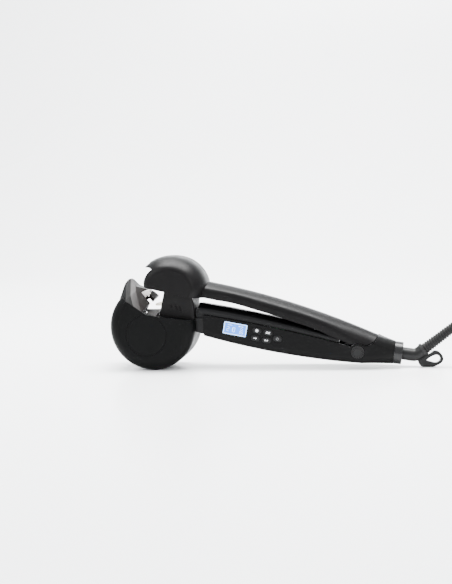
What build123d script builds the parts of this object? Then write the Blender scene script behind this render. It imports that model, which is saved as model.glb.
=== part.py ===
from build123d import *
from math import cos, pi, radians, sin, tan
import os

os.makedirs("parts", exist_ok=True)

# Automatic hair curler, in millimetres. +X runs from the round curl head to the cord,
# -Y is the side with the controls, +Z is up and the curler lies on z = 0.
# Side outlines are drawn as (distance behind the drum's axis, height).

# ---- driving dimensions ----
whole_length = 324.0
drum_r = 39.5
drum_half = 27.0
drum_z = 39.5
rim_round = 10.0
wall = 2.4
seam = 0.05
head_x = drum_r - whole_length / 2

handle_half = 16.5
handle_wall = 2.2
handle_front = 46.5
deck_half = 13.9
deck_front = 42.0
deck_back = 169.5
deck_wall = 1.8
boss_hole_r = 1.4

hinge_u = 185.7
hinge_z = 15.5
hinge_pin_r = 2.0
hinge_boss_r = 7.5
hinge_cap_r = 5.6
hinge_cap_depth = 1.7

jaw_wall = 2.2

tail_tilt = 8.2
tail_u = 217.8
tail_z = 13.1
collar_r = 10.2
collar_length = 7.4
stem_r = 5.8
elbow_u = 237.5
boot_tilt = 37.8
boot_start = 7.0
boot_length = 49.0
boot_r = 5.0
rib_pitch = 2.4
rib_depth = 0.7

slot_half = 5.0
chamber_r = 24.4
barrel_r = 9.5
barrel_end = 21.5

gear_module = 1.0
sun_teeth = 20
pinion_teeth = 18
motor_teeth = 10
ring_teeth = 56
gear_low = -4.5
gear_high = -1.0
rotor_r = 33.0
rotor_rim = 30.4
race_r = 36.8
plate_low = -6.8
plate_high = -5.0

panel_tilt = -10.6
button_length = 8.2
button_height = 5.1
button_proud = 0.6

cord_r = 3.25
fold_inner = 19.5
fold_outer = 26.0
hank_height = 19.5
hank_left = 339.5
hank_right = 417.5
hank_y = 18.0

# ---- planes and shared curves ----
drum_axis = Axis((head_x, 0, drum_z), (0, 1, 0))


def side_at(y):
    """Side view at depth y: local x runs back from the drum's axis, local y is height."""
    return Plane(origin=(head_x, y, 0), x_dir=(1, 0, 0), z_dir=(0, -1, 0))


def section_at(u):
    """Cross-section at distance u: local x is Y, local y is height."""
    return Plane(origin=(head_x + u, 0, 0), x_dir=(0, 1, 0), z_dir=(1, 0, 0))


def drum_at(y):
    """Side view at depth y, centred on the drum's axis."""
    return Plane(origin=(head_x, y, drum_z), x_dir=(1, 0, 0), z_dir=(0, -1, 0))


def hinge_at(y):
    """Side view at depth y, centred on the hinge pin."""
    return Plane(origin=(head_x + hinge_u, y, hinge_z), x_dir=(1, 0, 0), z_dir=(0, -1, 0))


def floor_at(z):
    """Plan view at height z: local x is distance behind the drum's axis."""
    return Plane(origin=(head_x, 0, z), x_dir=(1, 0, 0), z_dir=(0, 0, 1))


def at(u, y, z):
    """Point of the side outlines placed in the part's own frame."""
    return Vector(head_x + u, y, z)


def bow(first, middle, last):
    """Height along a gently bowed line through three (u, z) points."""
    knots = (first, middle, last)

    def height(u):
        total = 0.0
        for this in knots:
            weight = 1.0
            for other in knots:
                if other is not this:
                    weight *= (u - other[0]) / (this[0] - other[0])
            total += this[1] * weight
        return total

    return height


jaw_top = bow((50, 79.2), (130, 58.1), (205, 28.8))
jaw_edge = bow((48, 65.6), (115, 48.0), (178, 23.2))
parting = bow((46, 50.0), (110, 37.9), (180, 20.5))
belly = bow((42, 31.4), (110, 15.1), (190, 4.6))
deck_top = bow((46, 59.4), (110, 46.4), (170, 29.6))


def stations(start, stop, count):
    return [start + (stop - start) * i / (count - 1) for i in range(count)]


def along(height, start, stop, count, lift=0.0):
    """Points of a bowed line, lifted by a constant."""
    return [(u, height(u) + lift) for u in stations(start, stop, count)]


def finish(piece, name):
    piece.part.label = name
    export_step(piece.part, f"parts/{name}.step")


def disc(low, high, radius, bore=0.0, plane=drum_at, centre=(0, 0)):
    """Round piece from depth low to high about the drum's or the hinge's axis."""
    with BuildPart() as piece:
        with BuildSketch(plane(high)):
            with Locations(centre):
                Circle(radius)
                if bore > 0:
                    Circle(bore, mode=Mode.SUBTRACT)
        extrude(amount=high - low)
    return piece.part


def prism(points, low, high, plane=side_at):
    """Side outline swept across the curler from depth low to high."""
    with BuildPart() as piece:
        with BuildSketch(plane(high)):
            with BuildLine():
                Polyline(*points, close=True)
            make_face()
        extrude(amount=high - low)
    return piece.part


def block(u_range, y_range, z_range):
    """Plain box between the limits, used to trim other pieces."""
    with BuildPart() as piece:
        with BuildSketch(floor_at(z_range[0])):
            with Locations(((u_range[0] + u_range[1]) / 2, (y_range[0] + y_range[1]) / 2)):
                Rectangle(u_range[1] - u_range[0], y_range[1] - y_range[0])
        extrude(amount=z_range[1] - z_range[0])
    return piece.part


# ---- drum ----
def drum_blank(radius, half, rounding):
    with BuildPart() as piece:
        with BuildSketch(section_at(0)) as profile:
            with Locations((0, drum_z + radius / 2)):
                Rectangle(2 * half, radius)
            fillet(profile.vertices().group_by(Axis.Y)[-1], rounding)
        revolve(axis=drum_axis)
    return piece.part


drum_outside = drum_blank(drum_r, drum_half, rim_round)
drum_inside = drum_blank(drum_r - wall, drum_half - wall, rim_round - wall)

shelf_line = [(-8.1, 54.4), (-4.2, 51.8), (6.0, 50.0), (39.0, 45.7)]
shelf_under = [(u, z - wall) for u, z in shelf_line]
above_shelf = prism([(-40, 74.8), (-22.5, 64.5)] + shelf_line + [(60, 43), (60, 110), (-40, 110)], -40, 40)
shelf_plate = prism(shelf_line + shelf_under[::-1], -drum_half, drum_half)

# horn: the prong in front of the notch, cut from one outline by five planes on each side
horn_outline = [
    (-8.1, 51.5),
    (-22.0, 61.2),
    (-30.2, 62.6),
    (-30.6, 65.2),
    (-27.9, 77.9),
    (-25.2, 82.0),
    (-22.8, 82.5),
    (-21.0, 81.4),
    (-17.4, 75.9),
    (-4.3, 68.7),
    (-1.0, 64.8),
    (2.0, 49.0),
]


def facing(p, q, r):
    """Plane through three points of the horn, its normal pointing out of the horn."""
    normal = (at(*q) - at(*p)).cross(at(*r) - at(*p)).normalized()
    if normal.dot(at(-22, 0, 60) - at(*p)) > 0:
        normal = normal * -1
    return Plane(origin=at(*p), z_dir=normal)


near_corner = (-8.1, -27.0, 54.4)
near_root = (-22.5, -26.4, 64.5)
crease = (-16.3, -10.4, 72.7)
far_peak = (-1.4, 14.0, 64.7)
far_root = (-25.0, 26.5, 61.5)
horn_cuts = [
    facing((-20.1, -1.5, 79.8), crease, near_root),
    facing(crease, near_corner, near_root),
    facing((-30.6, -16.0, 65.0), (-27.9, -5.5, 78.0), near_root),
    facing((-22.8, 3.0, 82.5), (-4.3, 14.0, 68.9), far_root),
    facing((-30.6, 16.0, 65.0), (-27.9, 5.5, 78.0), far_root),
    facing((-19.8, -4.0, 79.7), near_corner, far_peak),
    facing(near_corner, far_peak, (-7.2, 14.0, 53.1)),
]
insert_back = horn_cuts[5].offset(-2.6)

with BuildPart() as horn_blank:
    with BuildSketch(side_at(drum_half)):
        with BuildLine():
            Polyline(*horn_outline, close=True)
        make_face()
    extrude(amount=2 * drum_half)
    for cut in horn_cuts:
        split(bisect_by=cut, keep=Keep.BOTTOM)
horn = horn_blank.part

hook_sweep = disc(-slot_half, slot_half, 33.6, 16.6)
chamber_room = disc(slot_half, drum_half + 1, chamber_r + 0.2)

neck_outline = [(37.3, 34.8), (48.5, 31.6), (48.5, 57.8), (39.3, 58.3), (39.3, 46.8), (37.3, 46.8)]
neck_half = 13.9
neck_passage = prism(neck_outline, -neck_half - 0.1, neck_half + 0.1)

badge_centre = (-4.4, -6.9)
badge_r = 18.6
badge_depth = 1.2
screw_spots = [(-19.5, -14.0), (19.5, -14.0)]
boss_r = 3.4
far_screws = [(-26.5, -12.5), (26.5, -12.5), (0, -29.3)]
head_r = 2.6
head_depth = 1.4

with BuildPart() as drum_shell:
    add(drum_outside)
    add(drum_inside, mode=Mode.SUBTRACT)
    add(shelf_plate.intersect(drum_outside))
    add(block((-12, 39), (-16.2, 16.2), (40, 60)), mode=Mode.SUBTRACT)
    add(above_shelf, mode=Mode.SUBTRACT)
    add(neck_passage, mode=Mode.SUBTRACT)

with BuildPart() as horn_body:
    add(horn)
    split(bisect_by=insert_back, keep=Keep.BOTTOM)
    add(hook_sweep, mode=Mode.SUBTRACT)

with BuildPart() as horn_insert:
    add(horn)
    split(bisect_by=insert_back, keep=Keep.TOP)
    add(hook_sweep, mode=Mode.SUBTRACT)
    add(drum_shell.part, mode=Mode.SUBTRACT)
finish(horn_insert, "horn_insert")

with BuildPart() as drum_near_cover:
    add(drum_shell.part)
    add(horn_body.part)
    add(block((-60, 60), (-30, -seam), (-5, 120)), mode=Mode.INTERSECT)
    add(disc(-drum_half - 1, badge_depth - drum_half, badge_r + 0.1, centre=badge_centre), mode=Mode.SUBTRACT)
    for spot in screw_spots:
        add(disc(-drum_half + wall - 0.4, plate_low, boss_r, boss_hole_r, centre=spot))
finish(drum_near_cover, "drum_near_cover")

with BuildPart() as drum_far_cover:
    add(drum_shell.part)
    add(horn_body.part)
    add(block((-60, 60), (seam, 30), (-5, 120)), mode=Mode.INTERSECT)
    add(chamber_room, mode=Mode.SUBTRACT)
    add(disc(seam, slot_half + 0.1, race_r - 12.2), mode=Mode.SUBTRACT)
    for spot in far_screws:
        add(disc(drum_half - head_depth, drum_half + 1, head_r + 0.2, centre=spot), mode=Mode.SUBTRACT)
        add(disc(drum_half - 4, drum_half + 1, boss_hole_r, centre=spot), mode=Mode.SUBTRACT)
finish(drum_far_cover, "drum_far_cover")

with BuildPart() as badge_disc:
    add(disc(-drum_half - 0.2, badge_depth - drum_half - 0.05, badge_r, centre=badge_centre))
    chamfer(badge_disc.edges().group_by(Axis.Y)[0], 0.3)
finish(badge_disc, "badge_disc")

# floor of the notch, rising from the near face to the middle
ramp_half = 26.9
with BuildPart() as notch_ramp:
    with BuildSketch(section_at(-9.4)):
        with BuildLine():
            Polyline((-ramp_half, 50.2), (-5.4, 54.6), (-5.4, 49.0), (-ramp_half, 49.0), close=True)
        make_face()
    extrude(amount=14.4)
    add(above_shelf, mode=Mode.INTERSECT)
    add(horn, mode=Mode.SUBTRACT)
finish(notch_ramp, "notch_ramp")

# block behind the notch, slotted for the hook, with three vent grooves
block_half = 16.0
block_outline = [(5.2, 46.0), (11.5, 73.2), (36.2, 67.0), (38.4, 60.5), (38.7, 43.6)]
vents = [(17.8, 58.3, 3.2, 115), (22.2, 57.4, 5.8, 115), (26.0, 55.7, 5.8, 107)]
with BuildPart() as rear_guide_block:
    add(prism(block_outline, -block_half, block_half))
    fillet(rear_guide_block.faces().sort_by(Axis.X)[-1].edges().filter_by(Axis.Y, reverse=True), 2.6)
    add(disc(-slot_half, slot_half, 33.6), mode=Mode.SUBTRACT)
    add(drum_shell.part, mode=Mode.SUBTRACT)
    add(notch_ramp.part, mode=Mode.SUBTRACT)
    add(chamber_room, mode=Mode.SUBTRACT)
    add(neck_passage, mode=Mode.SUBTRACT)
    for u, z, length, slant in vents:
        with BuildSketch(side_at(-block_half + 0.8)):
            with Locations((u, z)):
                SlotOverall(length, 1.3, rotation=slant)
        extrude(amount=3, mode=Mode.SUBTRACT)
finish(rear_guide_block, "rear_guide_block")

# ---- rotor and its gear train, all about axes parallel to the drum's ----
tooth_root = 1.15
tooth_tip = 0.9
root_share = 0.27
tip_share = 0.11


def turned(radius, angle):
    return (radius * cos(radians(angle)), radius * sin(radians(angle)))


def tooth_line(teeth, root, tip, first, centre=(0, 0)):
    """Closed line of trapezoid teeth; first is the angle of one tooth's middle."""
    step = 360 / teeth
    flank = ((root, -root_share), (tip, -tip_share), (tip, tip_share), (root, root_share))
    points = []
    for k in range(teeth):
        for radius, share in flank:
            x, y = turned(radius, first + (k + share) * step)
            points.append((centre[0] + x, centre[1] + y))
    return points


def gear(teeth, centre, first, bore, shaft=0.0):
    pitch = gear_module * teeth / 2
    with BuildPart() as piece:
        with BuildSketch(drum_at(gear_high)):
            with BuildLine():
                Polyline(*tooth_line(teeth, pitch - tooth_root, pitch + tooth_tip, first, centre), close=True)
            make_face()
            if bore > 0:
                with Locations(centre):
                    Circle(bore, mode=Mode.SUBTRACT)
        extrude(amount=gear_high - gear_low)
        if shaft > 0:
            add(disc(plate_low - 5, gear_low, shaft, centre=centre))
    return piece.part


def wedge(start, stop, low, high, reach=70):
    """Everything between two angles about the drum's axis."""
    rays = [turned(reach, start + (stop - start) * k / 6) for k in range(7)]
    return prism([(0, 0)] + rays, low, high, plane=drum_at)


pitch_r = gear_module * ring_teeth / 2
pinion_distance = gear_module * (ring_teeth - pinion_teeth) / 2
motor_distance = gear_module * (sun_teeth + motor_teeth) / 2
half_pinion_step = 180 / pinion_teeth
axle_r = 1.5
run = 0.05
hub_r = 5.0
notch_start = 68
notch_stop = 99

with BuildPart() as rotor_ring:
    add(disc(gear_low, slot_half - 0.5, rotor_r, rotor_rim))
    with BuildSketch(drum_at(gear_high)):
        Circle(rotor_rim + 0.1)
        with BuildLine():
            Polyline(*tooth_line(ring_teeth, pitch_r + tooth_root, pitch_r - tooth_tip, 0), close=True)
        make_face(mode=Mode.SUBTRACT)
    extrude(amount=gear_high - gear_low)
    add(wedge(notch_start, notch_stop, -10, 10), mode=Mode.SUBTRACT)
finish(rotor_ring, "rotor_ring")

hook_outline = [(11.6, 27.9), (6.5, 21.6), (-0.8, 19.4), (-0.8, 17.6), (9, 17.3), (16, 20.4), (18.8, 23.9)]
with BuildPart() as rotor_hook:
    add(prism(hook_outline, 0.4, 3.6, plane=drum_at))
    fillet(rotor_hook.edges().filter_by(Axis.Y).group_by(Axis.X)[0], 0.8)
    add(disc(-10, 10, 60, rotor_rim), mode=Mode.SUBTRACT)
finish(rotor_hook, "rotor_hook")

with BuildPart() as rotor_race:
    add(disc(plate_high, slot_half, race_r, rotor_r + 0.08))
    add(wedge(2, 155, -20, 20), mode=Mode.SUBTRACT)
finish(rotor_race, "rotor_race")

with BuildPart() as sun_gear:
    add(gear(sun_teeth, (0, 0), 0, hub_r + run))
finish(sun_gear, "sun_gear")
pinion_spots = {"pinion_a": (pinion_distance, 0), "pinion_b": (-pinion_distance, 0)}
for name, spot in pinion_spots.items():
    with BuildPart() as pinion:
        add(gear(pinion_teeth, spot, half_pinion_step, axle_r + run))
    finish(pinion, name)
motor_spot = (0, -motor_distance)
with BuildPart() as motor_gear:
    add(gear(motor_teeth, motor_spot, 90 + 180 / motor_teeth, 0, shaft=1.0))
finish(motor_gear, "motor_gear")

upper_rim = disc(-10, 10, race_r + 1, rotor_r).intersect(block((-60, 60), (-10, 10), (drum_z - 3, 90)))
with BuildPart() as gear_plate:
    add(disc(plate_low, plate_high, race_r))
    add(disc(plate_high, 0.6, hub_r))
    add(block((-60, 60), (-10, 10), (drum_z + 2.8, 90)), mode=Mode.SUBTRACT)
    add(disc(plate_low - 1, plate_high, 2.6, centre=motor_spot), mode=Mode.SUBTRACT)
    for spot in pinion_spots.values():
        add(disc(plate_low - 1, plate_high, axle_r, centre=spot), mode=Mode.SUBTRACT)
    for spot in screw_spots:
        add(disc(plate_low - 1, plate_high, boss_hole_r, centre=spot), mode=Mode.SUBTRACT)
    add(upper_rim, mode=Mode.SUBTRACT)
finish(gear_plate, "gear_plate")

with BuildPart() as gear_axles:
    for spot in pinion_spots.values():
        add(disc(plate_low, gear_high + 0.1, axle_r, centre=spot))
finish(gear_axles, "gear_axles")

with BuildPart() as gear_screws:
    for spot in screw_spots:
        add(disc(plate_high, plate_high + 1.2, 2.5, centre=spot))
        add(disc(plate_high - 9, plate_high, boss_hole_r, centre=spot))
finish(gear_screws, "gear_screws")

motor_r = 10.0
with BuildPart() as motor:
    add(disc(-21.5, plate_low, motor_r, centre=motor_spot))
    add(disc(plate_low, plate_low + 0.9, 2.5, centre=motor_spot))
    chamfer(motor.edges().group_by(Axis.Y)[0], 1.0)
    add(disc(plate_low - 6, 0, 1.1, centre=motor_spot), mode=Mode.SUBTRACT)
finish(motor, "motor")

# ---- curl chamber on the far side ----
below_shelf = prism([(-39, 47), (shelf_line[0][0], 47), (39, 43), (39, -5), (-39, -5)], 0, 40)
with BuildPart() as chamber_liner:
    add(disc(slot_half + 0.3, drum_half - 0.6, chamber_r, chamber_r - 1.5))
    add(disc(slot_half + 0.3, slot_half + 1.5, race_r, chamber_r - 1.5))
    add(below_shelf, mode=Mode.INTERSECT)
finish(chamber_liner, "chamber_liner")

with BuildPart() as heated_barrel:
    add(disc(-0.6, barrel_end, barrel_r))
    add(disc(2.0, barrel_end, barrel_r - 1.2), mode=Mode.SUBTRACT)
    add(disc(-1, 0.6, hub_r), mode=Mode.SUBTRACT)
finish(heated_barrel, "heated_barrel")

with BuildPart() as barrel_cap:
    add(disc(barrel_end, barrel_end + 2.6, barrel_r))
    fillet(barrel_cap.edges().group_by(Axis.Y)[-1], 2.0)
finish(barrel_cap, "barrel_cap")

with BuildPart() as heater_core:
    add(prism([(-6, -3.6), (6, -3.6), (6, 3.6), (-6, 3.6)], 2.4, barrel_end - 1.5, plane=drum_at))
finish(heater_core, "heater_core")

cutout_spot = turned(chamber_r + 2.6, -120)
with BuildPart() as thermal_cutout:
    add(disc(8, 17, 2.4, centre=cutout_spot))
    add(disc(17, 19, 0.8, centre=cutout_spot))
finish(thermal_cutout, "thermal_cutout")

# countersunk screws in the far face
with BuildPart() as cover_screws:
    for spot in far_screws:
        add(disc(drum_half - head_depth, drum_half - 0.2, head_r, centre=spot))
        add(disc(drum_half - 8, drum_half - head_depth, boss_hole_r, centre=spot))
finish(cover_screws, "cover_screws")

# ---- handle: lower shell, deck and the neck that joins them to the drum ----
belly_round = 6.5
tail_front = 190.0
tail_middle = 206.0
tail_plane = Plane(
    origin=at(tail_u, 0, tail_z),
    x_dir=(0, 1, 0),
    z_dir=(cos(radians(tail_tilt)), 0, -sin(radians(tail_tilt))),
)
end_wall = 3.0


def tail_blank(inset, back=0.0):
    """Tapering tail; back moves its end plane forwards."""
    with BuildPart() as piece:
        with BuildSketch(section_at(tail_front)):
            with Locations((0, 20.3)):
                RectangleRounded(2 * (handle_half - inset), 31.4 - 2 * inset, 7 - inset)
        with BuildSketch(section_at(tail_middle)):
            with Locations((0, 16.1)):
                RectangleRounded(2 * (14.3 - inset), 24.4 - 2 * inset, 9.5 - inset)
        with BuildSketch(tail_plane.offset(-back)):
            RectangleRounded(2 * (10.4 - inset), 2 * (10.4 - inset), 10.3 - inset)
        loft()
    return piece.part


def body_blank(half, inset, front):
    """Handle up to the tail, from the belly to well above the parting line."""
    with BuildPart() as piece:
        with BuildSketch(side_at(half)):
            with BuildLine():
                Spline(*along(belly, front, tail_front, 6, inset))
                Polyline(
                    (tail_front, belly(tail_front) + inset),
                    (tail_front, 36 - inset),
                    (front, 70),
                    (front, belly(front) + inset),
                )
            make_face()
        extrude(amount=2 * half)
        fillet(piece.edges().filter_by(GeomType.BSPLINE), belly_round - inset)
    return piece.part


with BuildPart() as handle_top_cut:
    with BuildSketch(side_at(30)):
        with BuildLine():
            Spline(*along(parting, 40, 180, 7))
            Polyline((180, parting(180)), (180.4, 20.8), (191.3, 21.2), (192.5, 20.5))
            ThreePointArc((192.5, 20.5), (201, 24.9), (205.2, 30.5))
            Polyline((205.2, 30.5), (206, 60), (40, 90), (40, parting(40)))
        make_face()
    extrude(amount=60)
    add(disc(-30, 30, hinge_boss_r, plane=hinge_at), mode=Mode.SUBTRACT)

handle_screw_u = (70.0, 119.0, 163.0)
handle_screw_r = 1.4
boss_top = 7.0
window_centre = (75.8, 36.9)
window_size = (21.6, 11.4)
button_spots = {
    "time_button": (95.7, 35.5),
    "direction_button": (105.8, 33.5),
    "minus_button": (94.1, 28.6),
    "plus_button": (104.2, 26.6),
    "power_button": (114.2, 27.9),
}


def stadium(spot, low, high, grow=0.0):
    with BuildPart() as piece:
        with BuildSketch(side_at(high)):
            with Locations(spot):
                SlotOverall(button_length + 2 * grow, button_height + 2 * grow, rotation=panel_tilt)
        extrude(amount=high - low)
    return piece.part


def panel(centre, size, low, high):
    """Rectangle lying along the handle's near side."""
    with BuildPart() as piece:
        with BuildSketch(side_at(high)):
            with Locations(centre):
                Rectangle(*size, rotation=panel_tilt)
        extrude(amount=high - low)
    return piece.part


def post(u, low, high, radius):
    with BuildPart() as piece:
        with BuildSketch(floor_at(low)):
            with Locations((u, 0)):
                Circle(radius)
        extrude(amount=high - low)
    return piece.part


with BuildPart() as handle_blank:
    add(body_blank(handle_half, 0, handle_front))
    add(tail_blank(0))

with BuildPart() as handle_lower_shell:
    add(handle_blank.part)
    add(body_blank(handle_half - handle_wall, handle_wall, handle_front - 1), mode=Mode.SUBTRACT)
    add(tail_blank(handle_wall, end_wall), mode=Mode.SUBTRACT)
    for low, high in ((-14.6, -6.3), (12.0, 14.6)):
        add(disc(low, high, 6, plane=hinge_at))
    for u in handle_screw_u:
        add(post(u, belly(u) + 0.6, parting(u) - boss_top, boss_r))
    add(handle_top_cut.part, mode=Mode.SUBTRACT)
    add(disc(-30, 30, hinge_pin_r, plane=hinge_at), mode=Mode.SUBTRACT)
    for low, high in ((-20, -handle_half + hinge_cap_depth), (handle_half - hinge_cap_depth, 20)):
        add(disc(low, high, hinge_cap_r + 0.15, plane=hinge_at), mode=Mode.SUBTRACT)
    for u in handle_screw_u:
        add(post(u, 0, parting(u), handle_screw_r), mode=Mode.SUBTRACT)
        add(post(u, 0, belly(u) + 1.8, head_r + 0.2), mode=Mode.SUBTRACT)
    add(panel(window_centre, window_size, -20, -10), mode=Mode.SUBTRACT)
    for spot in button_spots.values():
        add(stadium(spot, -20, -10, 0.2), mode=Mode.SUBTRACT)
    with BuildSketch(tail_plane):
        Circle(stem_r + 0.07)
    extrude(amount=-2 * end_wall, mode=Mode.SUBTRACT)
finish(handle_lower_shell, "handle_lower_shell")


def dome_section(u, half, base, top):
    """Upright sides to a third of the height, then a rounded roof."""
    height = top - base
    with BuildSketch(section_at(u)) as profile:
        with BuildLine():
            Polyline((half, base + 0.35 * height), (half, base), (-half, base), (-half, base + 0.35 * height))
            Spline(
                (-half, base + 0.35 * height),
                (-0.72 * half, base + 0.8 * height),
                (0, top),
                (0.72 * half, base + 0.8 * height),
                (half, base + 0.35 * height),
                tangents=[(0, 1), (0, -1)],
            )
        make_face()
    return profile.sketch


def dome_loft(rows):
    with BuildPart() as piece:
        loft([dome_section(*row).face() for row in rows])
    return piece.part


deck_rows = [(u, deck_half, parting(u) + 0.3, deck_top(u)) for u in stations(deck_front, deck_back, 5)]
deck_hollow_rows = [
    (u, deck_half - deck_wall, parting(u) - 3, deck_top(u) - deck_wall)
    for u in stations(deck_front - 1, deck_back - 2, 5)
]
with BuildPart() as handle_upper_shell:
    add(dome_loft(deck_rows))
    add(dome_loft(deck_hollow_rows), mode=Mode.SUBTRACT)
    for u in handle_screw_u:
        add(post(u, parting(u) - boss_top, deck_top(u) - 1.0, boss_r))
        add(post(u, 0, deck_top(u) - 4.0, handle_screw_r), mode=Mode.SUBTRACT)
finish(handle_upper_shell, "handle_upper_shell")

with BuildPart() as handle_screws:
    for u in handle_screw_u:
        add(post(u, belly(u) + 0.3, belly(u) + 1.8, head_r))
        add(post(u, belly(u) + 1.8, parting(u) - boss_top + 6, handle_screw_r))
finish(handle_screws, "handle_screws")

neck_wall = 2.2
neck_upper = [(39.3, 44.0), (39.3, 55.6), (48.5, 55.2), (48.5, 44.0)]
neck_lower = [(37.3, 34.8), (48.5, 31.6), (48.5, 46.8), (37.3, 46.8)]
with BuildPart() as neck_frame:
    add(prism(neck_lower, -neck_half, neck_half))
    add(prism(neck_upper, neck_wall - neck_half, neck_half - neck_wall))
    add(prism([(30, 38), (60, 35), (60, 53), (30, 53.4)], 5 - neck_half, neck_half - 5), mode=Mode.SUBTRACT)
    add(handle_blank.part.intersect(handle_lower_shell.part), mode=Mode.SUBTRACT)
    add(handle_upper_shell.part, mode=Mode.SUBTRACT)
finish(neck_frame, "neck_frame")

# ---- controls ----
with BuildPart() as display_window:
    add(panel(window_centre, (window_size[0] - 0.1, window_size[1] - 0.1), -handle_half, -15.2))
finish(display_window, "display_window")

inner_face = handle_wall - handle_half
with BuildPart() as display_module:
    add(panel(window_centre, (24, 13), inner_face, inner_face + 2.8))
finish(display_module, "display_module")

flange_size = (9.2, 6.0)
flange_depth = 1.1
press_travel = 0.5
for name, spot in button_spots.items():
    with BuildPart() as button:
        add(stadium(spot, -handle_half - button_proud, inner_face + 0.2, 0))
        fillet(button.edges().group_by(Axis.Y)[0], 0.4)
        add(panel(spot, flange_size, inner_face + 0.1, inner_face + 0.1 + flange_depth))
    finish(button, name)

mat_front = inner_face + 0.1 + flange_depth + press_travel + 0.2
mat_depth = 1.0
with BuildPart() as button_mat:
    add(panel((104.2, 30.6), (30, 15), mat_front, mat_front + mat_depth))
finish(button_mat, "button_mat")

board_front = mat_front + mat_depth
with BuildPart() as control_board:
    add(panel((89.5, 34.2), (60, 14), board_front, board_front + 1.6))
finish(control_board, "control_board")

with BuildPart() as power_board:
    add(panel((143.5, 21.5), (30, 13), 5, 6.6))
    for u, radius in ((134, 3.0), (152, 2.4)):
        add(disc(6.6, 12.6, radius, plane=side_at, centre=(u, parting(u) - 9.5)))
finish(power_board, "power_board")

with BuildPart() as jaw_switch:
    add(panel((144.5, 24.0), (12, 6), -0.6, 5))
finish(jaw_switch, "jaw_switch")

# ---- hinge ----
cap_start = handle_half - hinge_cap_depth
with BuildPart() as hinge_pin:
    add(disc(-cap_start, cap_start, hinge_pin_r, plane=hinge_at))
finish(hinge_pin, "hinge_pin")

cap_places = (("hinge_cap_near", -handle_half, -cap_start), ("hinge_cap_far", cap_start, handle_half))
for name, low, high in cap_places:
    with BuildPart() as cap:
        add(disc(low, high, hinge_cap_r, plane=hinge_at))
        for start in (low - 1, high - 0.4):
            add(disc(start, start + 1.4, 4.4, 3.9, plane=hinge_at), mode=Mode.SUBTRACT)
    finish(cap, name)

spring_r = 3.6
wire_r = 0.6
spring_low = 6.9
spring_high = 11.3
leg = 15.0
with BuildPart() as jaw_spring:
    with BuildLine() as wire:
        Helix(
            pitch=(spring_high - spring_low) / 3,
            height=spring_high - spring_low,
            radius=spring_r,
            center=at(hinge_u, spring_low, hinge_z),
            direction=(0, 1, 0),
        )
    with BuildSketch(Plane(origin=wire.line @ 0, z_dir=wire.line % 0)):
        Circle(wire_r)
    sweep(is_frenet=True)
    for end, way in ((wire.line @ 0, (wire.line % 0) * -1), (wire.line @ 1, wire.line % 1)):
        with BuildSketch(Plane(origin=end, z_dir=Vector(way.X, 0, way.Z))):
            Circle(wire_r)
        extrude(amount=leg)
finish(jaw_spring, "jaw_spring")

# ---- upper jaw: arm and cap in one moulding ----
jaw_stations = (36, 60, 95, 130, 160, 185, 206)
jaw_taper = (16.5, 16.5, 16.5, 16.5, 16.5, 15.6, 14.2)
arm_base = [jaw_edge(u) if u < 170 else min(jaw_edge(u), 14.0) for u in jaw_stations]
arm_rows = [(u, half, base, jaw_top(u)) for u, half, base in zip(jaw_stations, jaw_taper, arm_base)]
arm_hollow_rows = [
    (u, half - jaw_wall, base - 1, jaw_top(u) - jaw_wall)
    for u, half, base in zip(jaw_stations[:-1], jaw_taper[:-1], arm_base[:-1])
]

cap_centre = (17.0, 72.5)
cap_outline = [
    (-11.5, 88.0),
    (-4.6, 97.2),
    (16.0, 103.6),
    (36.0, 98.4),
    (48.0, 84.5),
    (50.0, 70.5),
    (38.0, 56.0),
    (14.0, 52.0),
    (-4.0, 62.0),
]
cap_widths = ((0, 1.0), (13, 0.965), (22, 0.82), (25.5, 0.72), (27, 0.62))
cap_wall = 2.4


def cap_section(y, scale, inset):
    with BuildSketch(side_at(y)) as profile:
        with BuildLine():
            points = []
            for u, z in cap_outline:
                reach = Vector(u - cap_centre[0], z - cap_centre[1])
                reach = reach * (scale * (1 - inset / reach.length))
                points.append((cap_centre[0] + reach.X, cap_centre[1] + reach.Y))
            Spline(*points, periodic=True)
        make_face()
    return profile.sketch.face()


def cap_blank(inset):
    rows = [(-y, scale) for y, scale in cap_widths[:0:-1]] + list(cap_widths)
    with BuildPart() as piece:
        loft([cap_section(y * (1 - inset / drum_half), scale, inset) for y, scale in rows])
    return piece.part


with BuildPart() as below_jaw:
    with BuildSketch(side_at(40)):
        with BuildLine():
            Polyline(
                (178, jaw_edge(178)),
                (178, -5),
                (-50, -5),
                (-50, 86.7),
                (-11.5, 77.9),
                (42.5, 65.6),
                (48, jaw_edge(48)),
            )
            Spline(*along(jaw_edge, 48, 178, 7))
        make_face()
    extrude(amount=80)
    with BuildSketch(side_at(40)):
        with BuildLine():
            Polyline((177.9, jaw_edge(178)), (177.9, -5), (230, -5), (230, 60), (206, 60), (204.7, 30.7))
            ThreePointArc((204.7, 30.7), (200.6, 25.3), (192.4, 21.1))
            Polyline((192.4, 21.1), (191.3, 21.7), (177.9, jaw_edge(178)))
        make_face()
    extrude(amount=80)
    add(disc(-40, 40, hinge_boss_r + 0.6, plane=hinge_at))

# mouth in the cap's front end for the horn
horn_mouth = [(-30, 60), (7.5, 60), (7.5, 87), (4, 91.5), (-1, 94), (-30, 94)]
horn_slit = [(-30, 80), (2, 80), (2, 93), (-3, 98.5), (-30, 106)]

with BuildPart() as upper_jaw_shell:
    add(cap_blank(0))
    add(dome_loft(arm_rows))
    add(cap_blank(cap_wall), mode=Mode.SUBTRACT)
    add(dome_loft(arm_hollow_rows), mode=Mode.SUBTRACT)
    add(prism(horn_mouth, -24, 24), mode=Mode.SUBTRACT)
    add(prism(horn_slit, -12.5, 12.5), mode=Mode.SUBTRACT)
    add(below_jaw.part, mode=Mode.SUBTRACT)
finish(upper_jaw_shell, "upper_jaw_shell")

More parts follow.
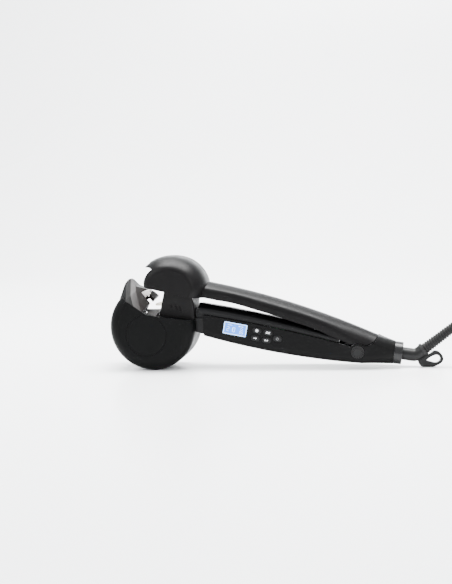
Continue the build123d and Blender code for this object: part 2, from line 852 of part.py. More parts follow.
bracket_half = 6.0
bracket_web = [(178.5, 45), (198, 40), (191.0, 18), (181.5, 18)]
with BuildPart() as jaw_hinge_bracket:
    add(prism(bracket_web, -bracket_half, bracket_half))
    add(disc(-bracket_half, bracket_half, 6, plane=hinge_at))
    add(disc(-bracket_half - 1, bracket_half + 1, hinge_pin_r + run, plane=hinge_at), mode=Mode.SUBTRACT)
    add(dome_loft(arm_rows), mode=Mode.INTERSECT)
    add(upper_jaw_shell.part, mode=Mode.SUBTRACT)
finish(jaw_hinge_bracket, "jaw_hinge_bracket")

liner_line = [(4, 95.2), (20, 94.8), (40, 87.6), (40, 89.0), (20, 96.3), (4, 96.7)]
with BuildPart() as cap_liner:
    add(cap_blank(cap_wall))
    add(prism(liner_line, -25, 25), mode=Mode.INTERSECT)
    add(prism(horn_mouth, -24, 24), mode=Mode.SUBTRACT)
finish(cap_liner, "cap_liner")

# ---- tail: collar, swivel and its spring-like boot ----
def on_tail(distance):
    """Plane across the tail's axis, measured back from the tail's end face."""
    return tail_plane.offset(distance)


def tail_ring(start, stop, radius, bore):
    with BuildPart() as piece:
        with BuildSketch(on_tail(start)):
            Circle(radius)
            Circle(bore, mode=Mode.SUBTRACT)
        extrude(amount=stop - start)
    return piece.part


collar_gap = 0.1
with BuildPart() as tail_collar:
    add(tail_ring(collar_gap, collar_length, collar_r, stem_r + 0.07))
    fillet(tail_collar.edges().filter_by(GeomType.CIRCLE).group_by(Axis.X)[-1], 0.8)
finish(tail_collar, "tail_collar")

with BuildPart() as swivel_contacts:
    add(tail_ring(-end_wall - 12, -end_wall - 4, 7.5, stem_r + 0.1))
finish(swivel_contacts, "swivel_contacts")

tail_run = (elbow_u - tail_u) / cos(radians(tail_tilt))
elbow_z = tail_z - tail_run * sin(radians(tail_tilt))
boot_way = Vector(cos(radians(boot_tilt)), 0, sin(radians(boot_tilt)))
elbow_point = at(elbow_u, 0, elbow_z)
boot_end = elbow_point + boot_way * (boot_start + boot_length)
stem_inside = 14.0
loop_outer = [(239.0, 4.6), (255.8, 1.3), (261.4, 7.0), (256.5, 14.0), (246.0, 12.0)]
loop_hole = [(246.6, 6.0), (253.2, 10.4), (256.6, 10.6), (258.4, 7.0), (255.6, 4.1), (249.0, 5.0)]
loop_half = 2.0

boot_root = Plane(origin=elbow_point + boot_way * boot_start, x_dir=(0, 1, 0), z_dir=boot_way)
boot_side = Plane(origin=boot_root.origin, x_dir=boot_way, z_dir=(0, -1, 0))
boot_flange_r = stem_r + 0.6
with BuildPart() as boot_room:
    with BuildSketch(boot_root):
        Circle(boot_flange_r + 0.05)
    extrude(amount=boot_length)

with BuildPart() as swivel_elbow:
    with BuildLine() as bend:
        FilletPolyline(
            on_tail(-stem_inside).origin,
            elbow_point,
            elbow_point + boot_way * boot_start,
            radius=8,
        )
    with BuildSketch(on_tail(-stem_inside)):
        Circle(stem_r)
    sweep()
    add(tail_ring(-end_wall - 3.8, -end_wall - 0.3, 7.0, 0.1))
    with BuildSketch(side_at(loop_half)):
        with BuildLine():
            Spline(*loop_outer, periodic=True)
        make_face()
    extrude(amount=2 * loop_half)
    with BuildSketch(side_at(loop_half + 1)):
        with BuildLine():
            Spline(*loop_hole, periodic=True)
        make_face()
    extrude(amount=2 * loop_half + 2, mode=Mode.SUBTRACT)
    add(boot_room.part, mode=Mode.SUBTRACT)
finish(swivel_elbow, "swivel_elbow")

boot_tip_r = 4.2
rib_count = int((boot_length - 4) / rib_pitch)
boot_line = [(0, 0), (0, boot_flange_r), (2.2, boot_flange_r)]
for k in range(rib_count):
    start = 3.0 + k * rib_pitch
    radius = boot_r + (boot_tip_r - boot_r) * k / rib_count
    valley = radius - rib_depth
    boot_line += [(start, valley), (start + 0.4, radius), (start + 1.6, radius), (start + 2.0, valley)]
boot_line += [(boot_length, boot_tip_r - 0.3), (boot_length, 0)]
with BuildPart() as cord_boot:
    with BuildSketch(boot_side):
        with BuildLine():
            Polyline(*boot_line, close=True)
        make_face()
    revolve(axis=Axis(boot_root.origin, boot_way))
finish(cord_boot, "cord_boot")

# ---- mains lead: plain run to a tied hank on the floor, with the plug lying on it ----
def headed(start, length, rise, y):
    """Next point of the lead: a run of that length at that angle, ending at depth y."""
    angle = radians(rise)
    return Vector(start.X + length * cos(angle), y, start.Z + length * sin(angle))


lead_z = cord_r + 0.15
entry_y = hank_y - fold_outer - cord_r - 3.65
route = [boot_end, boot_end + boot_way * 21.5]
runs = [(21.5, 8, -1.5), (21.5, -22, -5.5), (21.5, -52, -10.5), (21.5, -48, -15.1), (19.0, -30, -15.7)]
for length, rise, y in runs:
    route.append(headed(route[-1], length, rise, y))
landing_run = 18.0
route.append(Vector(route[-1].X + landing_run, entry_y, lead_z))
route.append(at(hank_right, entry_y, lead_z))


def corner_radii(points):
    """Bend radii that leave a straight run between neighbouring bends."""
    radii = []
    for before, here, after in zip(points, points[1:], points[2:]):
        run_in = here - before
        run_out = after - here
        half_turn = radians(run_in.get_angle(run_out)) / 2
        radii.append(0.45 * min(run_in.length, run_out.length) / tan(half_turn))
    return radii


def lead_piece(points):
    """Tube of the lead's diameter along the points."""
    with BuildPart() as piece:
        with BuildLine() as line:
            FilletPolyline(*points, radius=corner_radii(points))
        with BuildSketch(Plane(origin=points[0], z_dir=points[1] - points[0])):
            Circle(cord_r)
        sweep()
    length = sum(edge.length for edge in line.edges())
    print("bend radii", [round(r, 1) for r in corner_radii(points)])
    print("runs", [round((b - a).length, 1) for a, b in zip(points, points[1:])])
    print("length", round(length, 1), "volume ratio", piece.part.volume / (pi * cord_r**2 * length))
    return piece.part


with BuildPart() as cord_tube:
    add(lead_piece(route))
finish(cord_tube, "cord_tube")

hank_outer = fold_outer + cord_r
hank_inner = fold_inner - cord_r
entry_edge = entry_y - cord_r
entry_fold = (hank_y + hank_outer - entry_edge) / 2
hank_plane = Plane(origin=at(0, hank_y, 0), x_dir=(1, 0, 0), z_dir=(0, 0, 1))
hank_middle = (hank_left + hank_right) / 2
tie_half = 4.5
tie_u = hank_middle - 8
tie_depth = (hank_y + hank_inner - 1.3, hank_y + hank_outer + 1.25)
tie_hole_depth = (hank_y + hank_inner - 0.1, hank_y + hank_outer + 0.05)
tie_room = ((tie_u - tie_half, tie_u + tie_half), tie_depth, (0.05, 21.0))
tie_hole = ((tie_u - 9, tie_u + 9), tie_hole_depth, (1.3, 19.8))
tie = block(*tie_room) - block(*tie_hole)

plug_z = hank_height + 7.1
relief_start = 389.0
body_back = 409.0
body_front = 434.0
pin_reach = 15.0
pin_r = 2.0
pin_spacing = 18.6
end_route = [
    at(hank_left - 6, hank_y - fold_inner, 16.0),
    at(hank_left + 8, hank_y - fold_inner, 16.6),
    at(hank_left + 24, hank_y - 11.5, 21.0),
    at(hank_left + 38, hank_y, plug_z),
    at(relief_start, hank_y, plug_z),
]
end_piece = lead_piece(end_route)

with BuildPart() as cord_coil:
    with BuildSketch(hank_plane):
        with BuildLine():
            Polyline(
                (hank_left, -hank_outer),
                (hank_right, -hank_outer),
                (hank_right, entry_edge - hank_y),
            )
            ThreePointArc(
                (hank_right, entry_edge - hank_y),
                (hank_right + entry_fold, hank_outer - entry_fold),
                (hank_right, hank_outer),
            )
            Line((hank_right, hank_outer), (hank_left, hank_outer))
            ThreePointArc(
                (hank_left, hank_outer),
                (hank_left - hank_outer, 0),
                (hank_left, -hank_outer),
            )
        make_face()
        with Locations((hank_middle, 0)):
            SlotCenterToCenter(hank_right - hank_left, 2 * hank_inner, mode=Mode.SUBTRACT)
    extrude(amount=hank_height)
    chamfer(cord_coil.edges().filter_by(GeomType.CIRCLE), 1.6)
    add(end_piece)
    add(tie, mode=Mode.SUBTRACT)
finish(cord_coil, "cord_coil")
with BuildPart() as coil_tie:
    add(tie)
finish(coil_tie, "coil_tie")


def across(u):
    """Section of the plug at distance u, centred on its axis."""
    return Plane(origin=at(u, hank_y, plug_z), x_dir=(0, 1, 0), z_dir=(1, 0, 0))


with BuildPart() as plug_body:
    with BuildSketch(across(relief_start)):
        Circle(cord_r + 0.4)
    with BuildSketch(across(body_back)):
        Circle(5.6)
    loft()
    with BuildSketch(across(body_back)):
        RectangleRounded(27, 12, 5)
    with BuildSketch(across(body_front)):
        RectangleRounded(38, 13.8, 6)
    loft()
    for side in (-1, 1):
        with BuildSketch(across(body_front - 8)):
            with Locations((side * pin_spacing / 2, 0)):
                Circle(pin_r)
        extrude(amount=9, mode=Mode.SUBTRACT)
finish(plug_body, "plug_body")

with BuildPart() as plug_pins:
    for side in (-1, 1):
        with BuildSketch(across(body_front - 8)):
            with Locations((side * pin_spacing / 2, 0)):
                Circle(pin_r)
        extrude(amount=pin_reach + 8)
    fillet(plug_pins.edges().group_by(Axis.X)[-1], 1.0)
finish(plug_pins, "plug_pins")
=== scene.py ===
import math
import bpy
import bmesh
from mathutils import Matrix, Vector


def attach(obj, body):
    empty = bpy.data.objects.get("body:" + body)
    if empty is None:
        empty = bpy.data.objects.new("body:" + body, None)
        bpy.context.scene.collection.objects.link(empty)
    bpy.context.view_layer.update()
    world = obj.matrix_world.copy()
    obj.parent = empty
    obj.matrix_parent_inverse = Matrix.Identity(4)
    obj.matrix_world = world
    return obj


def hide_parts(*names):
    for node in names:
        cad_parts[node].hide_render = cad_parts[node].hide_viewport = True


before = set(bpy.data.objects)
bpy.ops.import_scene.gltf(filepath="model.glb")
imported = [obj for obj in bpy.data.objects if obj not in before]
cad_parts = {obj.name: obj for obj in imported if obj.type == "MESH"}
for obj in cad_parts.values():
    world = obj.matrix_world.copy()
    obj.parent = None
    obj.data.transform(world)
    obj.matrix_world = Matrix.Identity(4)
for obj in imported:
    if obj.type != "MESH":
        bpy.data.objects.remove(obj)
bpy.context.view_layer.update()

# Everything is in the CAD frame. Side outlines are (u, z) in millimetres, u behind the drum's axis.
HEAD_X = 39.5 - 162.0
PANEL_TILT = math.radians(-10.6)


def at(u, y, z):
    return Vector(((HEAD_X + u) / 1000, y / 1000, z / 1000))


# ---------------------------------------------------------------- camera
CAMERA_PLACE = (222.9, -991.8, 174.6)
CAMERA_TURNS = (9, 6, -1.5)
CAMERA_LENS = 67.8


def make_camera():
    azimuth, elevation, roll = (math.radians(turn) for turn in CAMERA_TURNS)
    back = Vector(
        (
            math.sin(azimuth) * math.cos(elevation),
            -math.cos(azimuth) * math.cos(elevation),
            math.sin(elevation),
        )
    )
    right = Vector((math.cos(azimuth), math.sin(azimuth), 0))
    up = back.cross(right)
    tilted_right = right * math.cos(roll) + up * math.sin(roll)
    tilted_up = up * math.cos(roll) - right * math.sin(roll)
    data = bpy.data.cameras.new("camera")
    data.sensor_fit = "AUTO"
    data.sensor_width = 36
    data.lens = CAMERA_LENS
    data.clip_end = 20
    camera = bpy.data.objects.new("camera", data)
    turn = Matrix((tilted_right, tilted_up, back)).transposed().to_4x4()
    turn.translation = at(*CAMERA_PLACE)
    camera.matrix_world = turn
    bpy.context.scene.collection.objects.link(camera)
    bpy.context.scene.camera = camera


make_camera()


# ---------------------------------------------------------------- materials
def new_material(name):
    material = bpy.data.materials.new(name)
    material.use_nodes = True
    tree = material.node_tree
    return material, tree, tree.nodes["Principled BSDF"]


def node(tree, kind, **values):
    made = tree.nodes.new(kind)
    for key, value in values.items():
        setattr(made, key, value)
    return made


def noise(tree, coordinate, scale, detail=4.0, stretch=None):
    texture = node(tree, "ShaderNodeTexNoise")
    texture.inputs["Scale"].default_value = scale
    texture.inputs["Detail"].default_value = detail
    if stretch:
        mapping = node(tree, "ShaderNodeMapping")
        mapping.inputs["Scale"].default_value = stretch
        tree.links.new(coordinate, mapping.inputs["Vector"])
        coordinate = mapping.outputs["Vector"]
    tree.links.new(coordinate, texture.inputs["Vector"])
    return texture.outputs["Fac"]


def ranged(tree, value, low, high, source=(0.3, 0.7)):
    remap = node(tree, "ShaderNodeMapRange")
    remap.inputs["From Min"].default_value = source[0]
    remap.inputs["From Max"].default_value = source[1]
    remap.inputs["To Min"].default_value = low
    remap.inputs["To Max"].default_value = high
    tree.links.new(value, remap.inputs["Value"])
    return remap.outputs["Result"]


def mixed(tree, factor, first, second):
    mix = node(tree, "ShaderNodeMix", data_type="RGBA")
    tree.links.new(factor, mix.inputs[0])
    for socket, value in ((mix.inputs[6], first), (mix.inputs[7], second)):
        if isinstance(value, tuple):
            socket.default_value = (*value, 1)
        else:
            tree.links.new(value, socket)
    return mix.outputs[2]


def moulded(
    name,
    base,
    rough,
    vary=0.18,
    grain=1400,
    depth=0.00003,
    wear=0.35,
    rounding=0.0004,
    metallic=0.0,
    stretch=None,
    coat=0.0,
    specular=0.5,
):
    """Moulded, cast or drawn surface: mottled colour, grain, uneven gloss and rubbed edges."""
    material, tree, shader = new_material(name)
    coordinate = node(tree, "ShaderNodeTexCoord").outputs["Object"]
    broad = noise(tree, coordinate, 28, 3)
    fine = noise(tree, coordinate, grain, 3, stretch)
    smear = noise(tree, coordinate, 120, 6, stretch)
    darker = tuple(c * (1 - vary) for c in base)
    lighter = tuple(min(1, c * (1 + vary)) for c in base)
    colour = mixed(tree, ranged(tree, broad, 0, 1), darker, lighter)
    edges = node(tree, "ShaderNodeNewGeometry").outputs["Pointiness"]
    worn = ranged(tree, edges, 0, wear, (0.51, 0.6))
    rubbed = tuple(min(1, c * 2.0 + 0.008) for c in base)
    colour = mixed(tree, worn, colour, rubbed)
    tree.links.new(colour, shader.inputs["Base Color"])
    tree.links.new(ranged(tree, smear, rough - 0.06, rough + 0.06), shader.inputs["Roughness"])
    bevel = node(tree, "ShaderNodeBevel", samples=4)
    bevel.inputs["Radius"].default_value = rounding
    bump = node(tree, "ShaderNodeBump")
    bump.inputs["Strength"].default_value = 0.6
    bump.inputs["Distance"].default_value = depth
    tree.links.new(fine, bump.inputs["Height"])
    tree.links.new(bevel.outputs["Normal"], bump.inputs["Normal"])
    tree.links.new(bump.outputs["Normal"], shader.inputs["Normal"])
    shader.inputs["Metallic"].default_value = metallic
    shader.inputs["Coat Weight"].default_value = coat
    shader.inputs["Specular IOR Level"].default_value = specular
    return material


def glowing(name, colour, strength, mottle=0.12):
    material, tree, shader = new_material(name)
    coordinate = node(tree, "ShaderNodeTexCoord").outputs["Object"]
    cells = noise(tree, coordinate, 260, 2)
    low = tuple(c * (1 - mottle) for c in colour)
    high = tuple(min(1, c * (1 + mottle)) for c in colour)
    shade = mixed(tree, ranged(tree, cells, 0, 1), low, high)
    tree.links.new(shade, shader.inputs["Emission Color"])
    tree.links.new(shade, shader.inputs["Base Color"])
    shader.inputs["Emission Strength"].default_value = strength
    tree.links.new(ranged(tree, cells, 0.18, 0.3), shader.inputs["Roughness"])
    bump = node(tree, "ShaderNodeBump")
    bump.inputs["Distance"].default_value = 0.00001
    tree.links.new(cells, bump.inputs["Height"])
    tree.links.new(bump.outputs["Normal"], shader.inputs["Normal"])
    return material


soft_black = moulded("soft_black", (0.0011, 0.0012, 0.0012), 0.46, wear=0.04, specular=0.05)
jaw_black = moulded("jaw_black", (0.0019, 0.0017, 0.0018), 0.36, wear=0.04, specular=0.08)
deck_black = moulded("deck_black", (0.0018, 0.0018, 0.0019), 0.34, wear=0.05, specular=0.12)
handle_black = moulded("handle_black", (0.0012, 0.0012, 0.0012), 0.44, wear=0.04, specular=0.06)
insert_brown = moulded("insert_brown", (0.012, 0.0105, 0.010), 0.5, wear=0.08, specular=0.2)
block_black = moulded("block_black", (0.0022, 0.002, 0.002), 0.5, wear=0.05, specular=0.1)
collar_black = moulded(
    "collar_black", (0.0018, 0.0018, 0.0019), 0.24, wear=0.06, depth=0.000012, specular=0.25
)
cap_black = moulded("cap_black", (0.0028, 0.0028, 0.0028), 0.4, wear=0.08, specular=0.15)
button_black = moulded(
    "button_black", (0.0018, 0.0018, 0.0018), 0.36, wear=0.08, rounding=0.0002, specular=0.15
)
rubber_black = moulded(
    "rubber_black", (0.0035, 0.0034, 0.0034), 0.55, vary=0.25, grain=2200, wear=0.2, specular=0.18
)
cord_rubber = moulded(
    "cord_rubber",
    (0.003, 0.003, 0.003),
    0.48,
    specular=0.18,
    vary=0.22,
    grain=1800,
    wear=0.1,
    rounding=0.0002,
)
gear_acetal = moulded("gear_acetal", (0.72, 0.70, 0.63), 0.42, vary=0.05, wear=0.3, rounding=0.0002)
inner_black = moulded("inner_black", (0.035, 0.034, 0.034), 0.6, wear=0.2)
screw_steel = moulded(
    "screw_steel", (0.34, 0.34, 0.35), 0.33, metallic=1, stretch=(1, 12, 1), rounding=0.0002
)
dark_steel = moulded(
    "dark_steel", (0.12, 0.12, 0.125), 0.36, metallic=1, stretch=(1, 9, 1), rounding=0.0002
)
pale_brass = moulded(
    "pale_brass", (0.80, 0.70, 0.50), 0.3, vary=0.08, metallic=1, stretch=(9, 1, 1), rounding=0.0002
)
barrel_ceramic = moulded("barrel_ceramic", (0.16, 0.15, 0.155), 0.32, vary=0.1, metallic=0.6, coat=0.3)
board_green = moulded("board_green", (0.02, 0.13, 0.05), 0.4, vary=0.3, rounding=0.0001)
silicone = moulded("silicone", (0.30, 0.30, 0.31), 0.62, vary=0.1)
icon_white = moulded("icon_white", (0.78, 0.79, 0.80), 0.5, vary=0.1, wear=0.0, rounding=0.00005)
lcd_blue = glowing("lcd_blue", (0.02, 0.155, 0.62), 0.7)
lcd_pale = glowing("lcd_pale", (0.42, 0.62, 0.92), 0.8)

finishes = {
    soft_black: ("drum_near_cover", "drum_far_cover", "badge_disc"),
    jaw_black: ("upper_jaw_shell",),
    deck_black: ("handle_upper_shell", "neck_frame"),
    handle_black: ("handle_lower_shell",),
    insert_brown: ("horn_insert", "notch_ramp"),
    block_black: ("rear_guide_block",),
    collar_black: ("tail_collar", "display_window"),
    cap_black: ("hinge_cap_near", "hinge_cap_far", "swivel_elbow", "barrel_cap", "jaw_switch"),
    button_black: ("power_button", "direction_button", "time_button", "minus_button", "plus_button"),
    rubber_black: ("cord_boot", "coil_tie", "plug_body"),
    gear_acetal: ("rotor_ring", "pinion_a", "pinion_b", "sun_gear"),
    inner_black: (
        "cap_liner",
        "chamber_liner",
        "rotor_race",
        "gear_plate",
        "display_module",
        "swivel_contacts",
    ),
    screw_steel: ("gear_axles", "gear_screws", "cover_screws", "handle_screws", "hinge_pin", "motor_gear"),
    dark_steel: ("jaw_spring", "motor", "jaw_hinge_bracket", "heater_core"),
    pale_brass: ("plug_pins", "rotor_hook", "thermal_cutout"),
    barrel_ceramic: ("heated_barrel",),
    board_green: ("control_board", "power_board"),
    silicone: ("button_mat",),
}
for material, names in finishes.items():
    for name in names:
        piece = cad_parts[name]
        for slot in piece.material_slots:
            slot.material = material


# ---------------------------------------------------------------- making pieces
def link(name, mesh, material):
    piece = bpy.data.objects.new(name, mesh)
    bpy.context.scene.collection.objects.link(piece)
    mesh.materials.append(material)
    return piece


def on_panel(centre, x, z):
    """Point of a drawing on the handle's tilted side, in (u, z)."""
    c, s = math.cos(PANEL_TILT), math.sin(PANEL_TILT)
    return (centre[0] + x * c - z * s, centre[1] + x * s + z * c)


def plates(name, centre, outlines, front, thick, material):
    """Thin flat shapes facing -Y. Each outline is a list of (x, z) about centre."""
    mesh = bpy.data.meshes.new(name)
    bm = bmesh.new()
    for outline in outlines:
        ring = [bm.verts.new(at(u, front, z)) for u, z in (on_panel(centre, *p) for p in outline)]
        face = bm.faces.new(ring)
        made = bmesh.ops.extrude_face_region(bm, geom=[face])
        back = [v for v in made["geom"] if isinstance(v, bmesh.types.BMVert)]
        bmesh.ops.translate(bm, vec=(0, thick / 1000, 0), verts=back)
    bmesh.ops.recalc_face_normals(bm, faces=bm.faces)
    bm.to_mesh(mesh)
    bm.free()
    return link(name, mesh, material)


def rounded(width, height, radius, steps=6):
    points = []
    for cx, cz, start in ((1, 1, 0), (-1, 1, 90), (-1, -1, 180), (1, -1, 270)):
        for k in range(steps + 1):
            angle = math.radians(start + 90 * k / steps)
            points.append(
                (
                    cx * (width / 2 - radius) + radius * math.cos(angle),
                    cz * (height / 2 - radius) + radius * math.sin(angle),
                )
            )
    return points


def bar(x0, z0, x1, z1, width):
    """Straight stroke between two points."""
    along = Vector((x1 - x0, z1 - z0)).normalized()
    side = Vector((-along.y, along.x)) * width / 2
    ends = (Vector((x0, z0)), Vector((x1, z1)))
    return [tuple(p) for p in (ends[0] - side, ends[1] - side, ends[1] + side, ends[0] + side)]


def ring_strokes(radius, width, start, stop, count):
    strokes = []
    for k in range(count):
        a = math.radians(start + (stop - start) * k / count)
        b = math.radians(start + (stop - start) * (k + 1) / count)
        inner, outer = radius - width / 2, radius + width / 2
        strokes.append(
            [
                (inner * math.cos(a), inner * math.sin(a)),
                (outer * math.cos(a), outer * math.sin(a)),
                (outer * math.cos(b), outer * math.sin(b)),
                (inner * math.cos(b), inner * math.sin(b)),
            ]
        )
    return strokes


# ---------------------------------------------------------------- display
LCD = (75.8, 36.9)
lcd = plates("lcd_backlight", LCD, [rounded(21.3, 11.1, 1.0)], -16.56, 0.05, lcd_blue)
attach(lcd, "root")
frame_strokes = [
    bar(-10.2, 5.05, 10.2, 5.05, 0.75),
    bar(-10.2, -5.05, 10.2, -5.05, 0.75),
    bar(-10.15, -5.3, -10.15, 5.3, 0.8),
    bar(10.15, -5.3, 10.15, 5.3, 0.8),
]
SEGMENTS = {
    "a": (0, 2, 1, 2),
    "b": (1, 1, 1, 2),
    "c": (1, 0, 1, 1),
    "d": (0, 0, 1, 0),
    "e": (0, 0, 0, 1),
    "f": (0, 1, 0, 2),
    "g": (0, 1, 1, 1),
}


def digit(x, z, size, lit, width):
    strokes = []
    for key in lit:
        x0, z0, x1, z1 = SEGMENTS[key]
        strokes.append(bar(x + x0 * size, z + z0 * size, x + x1 * size, z + z1 * size, width))
    return strokes


marks = []
marks += digit(-7.4, -2.6, 1.9, "abged", 0.42)
marks += digit(-4.2, -2.6, 1.9, "bc", 0.42)
marks += digit(-2.0, -2.6, 1.9, "abcdef", 0.42)
marks += digit(4.4, -3.2, 1.05, "abcdef", 0.34)
marks += digit(6.4, -3.2, 1.05, "afgcd", 0.34)
marks += [bar(-7.2, 3.1, -3.0, 3.1, 0.4), bar(2.9, 3.1, 4.6, 3.1, 0.8), bar(5.4, 3.1, 7.1, 3.1, 0.8)]
marks += ring_strokes(1.0, 0.3, 0, 360, 14)
marks[-14:] = [[(x + 5.9, z + 0.7) for x, z in stroke] for stroke in marks[-14:]]
lit = plates("lcd_marks", LCD, frame_strokes + marks, -16.6, 0.03, lcd_pale)
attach(lit, "root")

# ---------------------------------------------------------------- icons on the buttons
ICON_FRONT = -17.13


def icon(name, button, centre, outlines, material=icon_white):
    piece = plates(name, centre, outlines, ICON_FRONT, 0.03, material)
    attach(piece, button)


def head(x, z, way, size):
    return [(x, z + size), (x + way * size * 1.3, z), (x, z - size)]


SPOTS = {
    "time_button": (95.7, 35.5),
    "direction_button": (105.8, 33.5),
    "minus_button": (94.1, 28.6),
    "plus_button": (104.2, 26.6),
    "power_button": (114.2, 27.9),
}
sun = [rounded(1.5, 1.5, 0.7)]
for k in range(8):
    a = math.radians(45 * k)
    sun.append(bar(0.95 * math.cos(a), 0.95 * math.sin(a), 1.55 * math.cos(a), 1.55 * math.sin(a), 0.3))
turnings = [bar(-1.7, 0.55, 1.4, 0.55, 0.36), head(1.2, 0.55, 1, 0.62), bar(-1.4, -0.6, 1.7, -0.6, 0.36)]
turnings.append(head(-1.2, -0.6, -1, 0.62))
icon("icon_time", "time_button", SPOTS["time_button"], sun)
icon("icon_direction", "direction_button", SPOTS["direction_button"], turnings)
icon("icon_minus", "minus_button", SPOTS["minus_button"], [bar(-1.6, 0, 0.6, 0, 0.42), head(0.3, 0, 1, 0.85)])
plus_lines = [bar(-1.9, 0, -0.3, 0, 0.42), bar(-1.1, -0.8, -1.1, 0.8, 0.42), head(0.4, 0, 1, 0.85)]
icon("icon_plus", "plus_button", SPOTS["plus_button"], plus_lines)
faint_white = moulded("faint_white", (0.16, 0.16, 0.165), 0.5, vary=0.1, wear=0.0, rounding=0.00005)
power = ring_strokes(1.1, 0.3, 125, 415, 14) + [bar(0, 0.2, 0, 1.5, 0.32)]
icon("icon_power", "power_button", SPOTS["power_button"], power, faint_white)


# ---------------------------------------------------------------- screw recesses as painted shade
def painted_recess_shade(name, body, points, way, size=1.35):
    """Flat black crosses laid on the screw heads as painted shade in place of cut cross recesses; way is the
    direction the heads face.
    """
    mesh = bpy.data.meshes.new(name)
    bm = bmesh.new()
    way = Vector(way)
    side = way.orthogonal().normalized()
    other = way.cross(side)
    for point in points:
        for first, second in ((side, other), (other, side)):
            ring = []
            for a, b in ((-1, -0.25), (1, -0.25), (1, 0.25), (-1, 0.25)):
                ring.append(bm.verts.new(point + (first * a + second * b) * size / 1000))
            face = bm.faces.new(ring)
            face.normal_update()
            if face.normal.dot(way) < 0:
                face.normal_flip()
    bm.to_mesh(mesh)
    bm.free()
    piece = link(name, mesh, button_black)
    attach(piece, body)


DRUM_Z = 39.5
SCREW_FACE_Y = 26.82
SCREW_SPOTS = ((-26.5, -12.5), (26.5, -12.5), (0, -29.3))
far_heads = [at(u, SCREW_FACE_Y, DRUM_Z + z) for u, z in SCREW_SPOTS]
# black crosses on the far cover screws: painted shade for their recesses
painted_recess_shade("far_screw_recess_shade", "root", far_heads, (0, 1, 0))

# ---------------------------------------------------------------- mains lead
# The boot leaves the elbow of the tilted tail; its tip is where the bare lead starts.
TAIL_U, TAIL_Z, ELBOW_U = 217.8, 13.1, 237.5
BOOT_REACH = 56
LEAD_RUN = 21.5
boot_tilt = math.radians(37.8)
tail_tilt = math.radians(8.2)
elbow_z = TAIL_Z - math.tan(tail_tilt) * (ELBOW_U - TAIL_U)
boot_u = ELBOW_U + BOOT_REACH * math.cos(boot_tilt)
boot_z = elbow_z + BOOT_REACH * math.sin(boot_tilt)
route = [
    (boot_u, 0, boot_z),
    (boot_u + LEAD_RUN * math.cos(boot_tilt), 0, boot_z + LEAD_RUN * math.sin(boot_tilt)),
]
# length of each run, its rise in degrees, and the depth where it ends
lead_runs = [
    (LEAD_RUN, 8, -1.5),
    (LEAD_RUN, -22, -5.5),
    (LEAD_RUN, -52, -10.5),
    (LEAD_RUN, -48, -15.1),
    (19, -30, -15.7),
]
LANDING_RUN = 18
for length, rise, y in lead_runs:
    turned = math.radians(rise)
    u, _, z = route[-1]
    route.append((u + length * math.cos(turned), y, z + length * math.sin(turned)))
FOLD_LEFT, FOLD_RIGHT, FOLD_Y = 339.5, 417.5, 18.0
FLOOR_Z, ENTRY_Y = 3.4, -14.9
FOLD_POINTS = 6
BACK_PARTS = (0.75, 0.5, 0.25)
FRONT_POINTS = 5
FRONT_STEP = 13
LIFT = 1.8
route += [(route[-1][0] + LANDING_RUN, ENTRY_Y, FLOOR_Z), (FOLD_RIGHT, ENTRY_Y, FLOOR_Z)]


def fold(u, y, radius, z, start):
    """Half a turn, anticlockwise from above; each side of the polygon touches the circle."""
    half_step = 90 / FOLD_POINTS
    reach = radius / math.cos(math.radians(half_step))
    for step in range(FOLD_POINTS):
        angle = math.radians(start + half_step * (2 * step + 1))
        route.append((u + reach * math.cos(angle), y + reach * math.sin(angle), z))


def back_run(radius, z):
    """Straight side of the hank on its far side, towards the curler."""
    for part in BACK_PARTS:
        route.append((FOLD_LEFT + part * (FOLD_RIGHT - FOLD_LEFT), FOLD_Y + radius, z))


# radius and height of each turn: side by side, then on top of each other
turns = [(26.0, 3.4), (19.5, 3.4), (19.5, 9.9), (26.0, 9.9), (26.0, 16.3), (19.5, 16.3)]
entry_r = (FOLD_Y + turns[0][0] - ENTRY_Y) / 2
fold(FOLD_RIGHT, ENTRY_Y + entry_r, entry_r, FLOOR_Z, -90)
back_run(*turns[0])
fold(FOLD_LEFT, FOLD_Y, *turns[0], 90)
# Later turns change place sooner along the near side, so that no two cross there.
for number, (radius, z) in enumerate(turns[1:]):
    for k in range(1, FRONT_POINTS + 1):
        held_r, held_z = turns[number + 1] if k >= FRONT_POINTS - number else turns[number]
        route.append((FOLD_LEFT + k * FRONT_STEP, FOLD_Y - held_r, held_z))
    fold(FOLD_RIGHT, FOLD_Y, radius, z, -90)
    back_run(radius, z)
    fold(FOLD_LEFT, FOLD_Y, radius, z, 90)
# the last half turn lifts off the hank and runs up to the plug
for last in (1, 2, 3):
    u, y, z = route[-last]
    route[-last] = (u, y, z + LIFT * (4 - last))
PLUG_U, PLUG_Z = 389.0, 26.6
route += [(348.5, 0.5, 23.8), (363.0, 8.5, 26.2), (377.5, FOLD_Y, PLUG_Z), (PLUG_U, FOLD_Y, PLUG_Z)]

LEAD_DIAMETER = 0.0065
curve = bpy.data.curves.new("mains_lead", "CURVE")
curve.dimensions = "3D"
spline = curve.splines.new("NURBS")
spline.points.add(len(route) - 1)
for point, (u, y, z) in zip(spline.points, route):
    point.co = (*at(u, y, z), 1)
spline.order_u = 3
spline.use_endpoint_u = True
spline.resolution_u = 6
curve.bevel_depth = LEAD_DIAMETER / 2
curve.bevel_resolution = 6
curve.use_fill_caps = True
lead = bpy.data.objects.new("mains_lead", curve)
bpy.context.scene.collection.objects.link(lead)
curve.materials.append(cord_rubber)
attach(lead, "root")
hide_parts("cord_tube", "cord_coil")


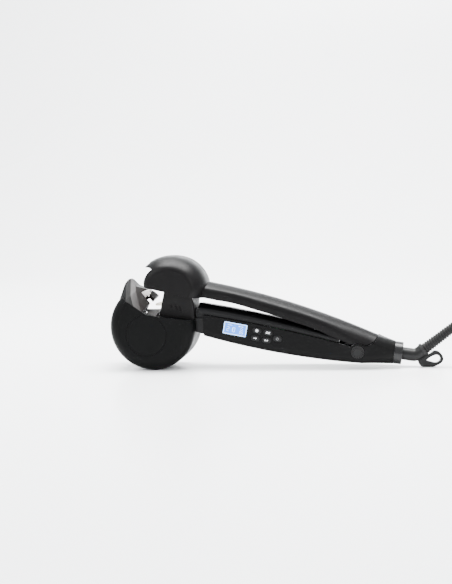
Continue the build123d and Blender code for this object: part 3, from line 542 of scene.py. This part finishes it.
# ---------------------------------------------------------------- stage and light
def make_stage():
    mesh = bpy.data.meshes.new("backdrop")
    bm = bmesh.new()
    floor_back, sweep_r, sweep_steps = 0.9, 0.8, 12
    rows = [(-3.0, 0.0), (floor_back, 0.0)]
    for k in range(1, sweep_steps + 1):
        angle = math.radians(90 * k / sweep_steps)
        rows.append((floor_back + sweep_r * math.sin(angle), sweep_r * (1 - math.cos(angle))))
    rows.append((floor_back + sweep_r, 4.0))
    grid = [[bm.verts.new((x, y, z - 0.0002)) for x in (-4, 4)] for y, z in rows]
    for low, high in zip(grid, grid[1:]):
        face = bm.faces.new((low[0], low[1], high[1], high[0]))
        face.smooth = True
    bm.to_mesh(mesh)
    bm.free()
    material, tree, shader = new_material("studio_white")
    coordinate = node(tree, "ShaderNodeTexCoord").outputs["Object"]
    shade = noise(tree, coordinate, 3, 2)
    tree.links.new(mixed(tree, shade, (0.80, 0.81, 0.815), (0.84, 0.845, 0.85)), shader.inputs["Base Color"])
    tree.links.new(ranged(tree, shade, 0.26, 0.32), shader.inputs["Roughness"])
    shader.inputs["Specular IOR Level"].default_value = 0.35
    link("backdrop", mesh, material)


def softbox(name, place, aim, size, power, colour=(1, 1, 1)):
    data = bpy.data.lights.new(name, "AREA")
    data.shape = "RECTANGLE"
    data.size, data.size_y = size
    data.energy = power
    data.color = colour
    lamp = bpy.data.objects.new(name, data)
    lamp.location = place
    lamp.rotation_euler = (Vector(aim) - Vector(place)).to_track_quat("-Z", "Y").to_euler()
    bpy.context.scene.collection.objects.link(lamp)


make_stage()
world = bpy.data.worlds.new("studio")
bpy.context.scene.world = world
world.use_nodes = True
world.node_tree.nodes["Background"].inputs["Color"].default_value = (0.95, 0.97, 1.0, 1)
world.node_tree.nodes["Background"].inputs["Strength"].default_value = 2.2
softbox("overhead", (0.05, 0.15, 1.3), (0, 0, 0.03), (1.6, 0.9), 80)
softbox("left_front", (-1.1, -0.9, 0.9), (-0.1, 0, 0.05), (0.8, 0.8), 16)
softbox("right_front", (1.0, -1.0, 0.7), (0.1, 0, 0.03), (0.6, 0.6), 8)
softbox("backdrop_wash", (0.05, 0.2, 1.6), (0.05, 1.6, 0.35), (1.4, 0.5), 110)
